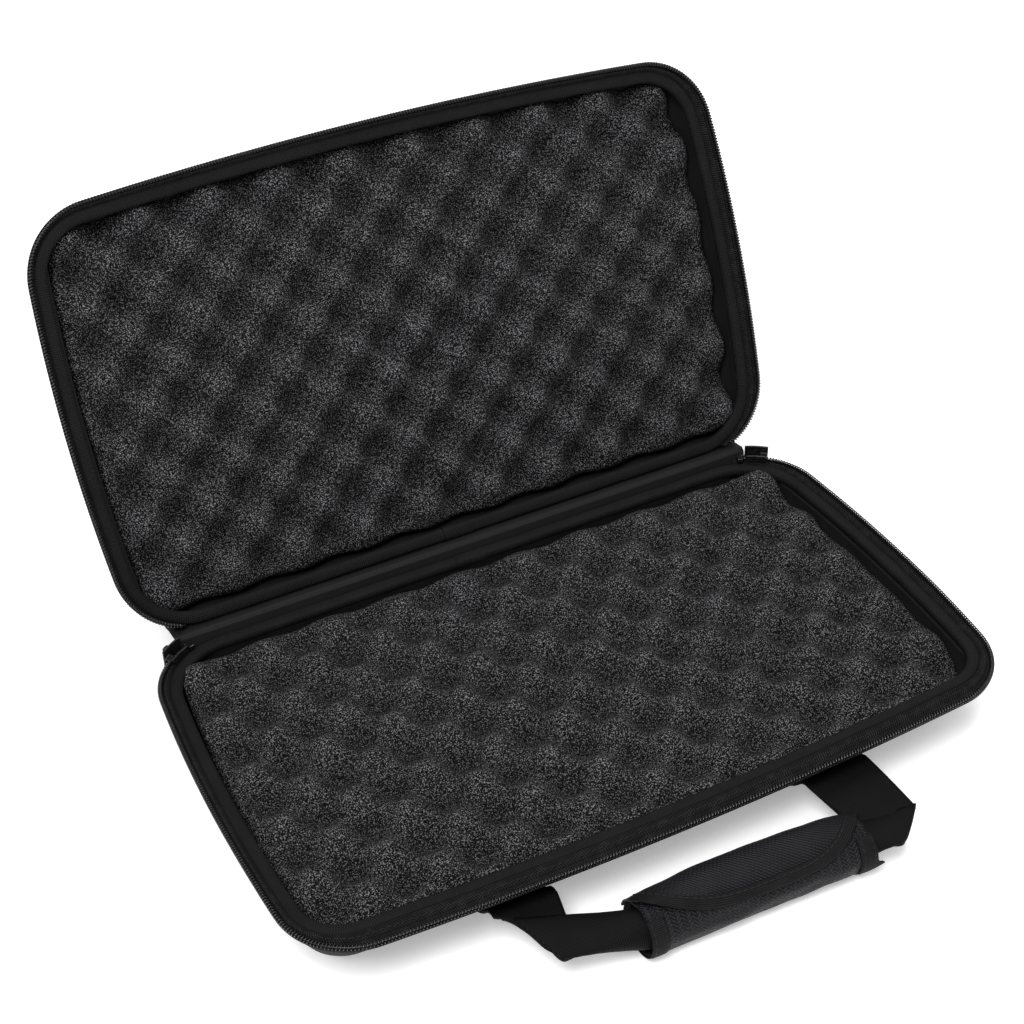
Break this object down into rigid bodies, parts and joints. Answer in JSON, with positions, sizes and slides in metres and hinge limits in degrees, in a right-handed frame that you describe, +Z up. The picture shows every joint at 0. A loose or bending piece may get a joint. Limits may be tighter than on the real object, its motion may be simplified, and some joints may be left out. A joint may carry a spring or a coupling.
{
  "type": "zippered hard case",
  "caption": "Black soft-shell carry case for miniatures, standing open: two moulded halves lined with egg-crate foam, a zip round three sides, a cloth spine and a padded webbing handle.",
  "frame": {"origin": "on the table plane, under the middle of the base half's zip outline", "axes": "+Z up, +Y towards the spine and hinge, -Y towards the handle, +X to the right seen from the handle side"},
  "size_m": [0.3996, 0.4015, 0.2514],
  "materials": {
    "shell_cloth": "matte",
    "lip_knit": "matte",
    "zip_tape": "matte",
    "zip_coil": "satin",
    "egg_crate_foam": "matte",
    "spine_cloth": "matte",
    "webbing": "matte",
    "ballistic_nylon": "matte",
    "binding_tape": "matte",
    "grip_foam": "matte",
    "hook_and_loop": "matte",
    "slider_metal": "satin"
  },
  "bodies": {
    "base": {"base_shell": "shell_cloth", "base_rim_binding": "lip_knit", "base_zip_tape": "zip_tape", "base_zip_coil": "zip_coil", "base_foam": "egg_crate_foam", "zip_end_stops": "zip_coil", "spine_base_leaf": "spine_cloth", "spine_fold": "spine_cloth", "handle_anchor_left": "webbing", "handle_anchor_right": "webbing"},
    "lid": {"lid_shell": "shell_cloth", "lid_rim_binding": "lip_knit", "lid_zip_tape": "zip_tape", "lid_zip_coil": "zip_coil", "lid_foam": "egg_crate_foam", "spine_lid_leaf": "spine_cloth"},
    "slider_left": {"slider_left": "slider_metal"},
    "slider_right": {"slider_right": "slider_metal"},
    "puller_left": {"puller_left": "slider_metal"},
    "puller_right": {"puller_right": "slider_metal"},
    "handle": {"handle_strap": "webbing", "grip_pad": "grip_foam", "grip_cover": "ballistic_nylon", "grip_binding_left": "binding_tape", "grip_binding_right": "binding_tape", "grip_loop_strip": "hook_and_loop"},
    "flap": {"grip_flap": "ballistic_nylon", "grip_flap_binding": "binding_tape", "grip_hook_strip": "hook_and_loop"}
  },
  "joints": [
    {"name": "lid_hinge", "type": "hinge", "parent": "base", "child": "lid", "pos_m": [0, 0.118, 0.042], "axis": [-1, 0, 0], "range_deg": [-116, 64]},
    {"name": "slider_right_run", "type": "hinge", "parent": "base", "child": "slider_right", "pos_m": [0.15676, 0.076, 0.042], "axis": [0, 0, 1], "range_deg": [-40, 0]},
    {"name": "slider_left_run", "type": "hinge", "parent": "base", "child": "slider_left", "pos_m": [-0.15676, 0.076, 0.042], "axis": [0, 0, -1], "range_deg": [-40, 0]},
    {"name": "puller_right_swing", "type": "hinge", "parent": "slider_right", "child": "puller_right", "pos_m": [0.18094, 0.11324, 0.042], "axis": [0.8387, -0.5446, 0], "range_deg": [0, 115]},
    {"name": "puller_left_swing", "type": "hinge", "parent": "slider_left", "child": "puller_left", "pos_m": [-0.18094, 0.11324, 0.042], "axis": [0.8387, 0.5446, 0], "range_deg": [0, 115]},
    {"name": "handle_swing", "type": "hinge", "parent": "base", "child": "handle", "pos_m": [0, -0.106, 0.0226], "axis": [-1, 0, 0], "range_deg": [0, 55]},
    {"name": "grip_flap_opening", "type": "hinge", "parent": "handle", "child": "flap", "pos_m": [0, -0.12721, 0.01828], "axis": [1, 0, 0], "range_deg": [-85, 0]}
  ]
}
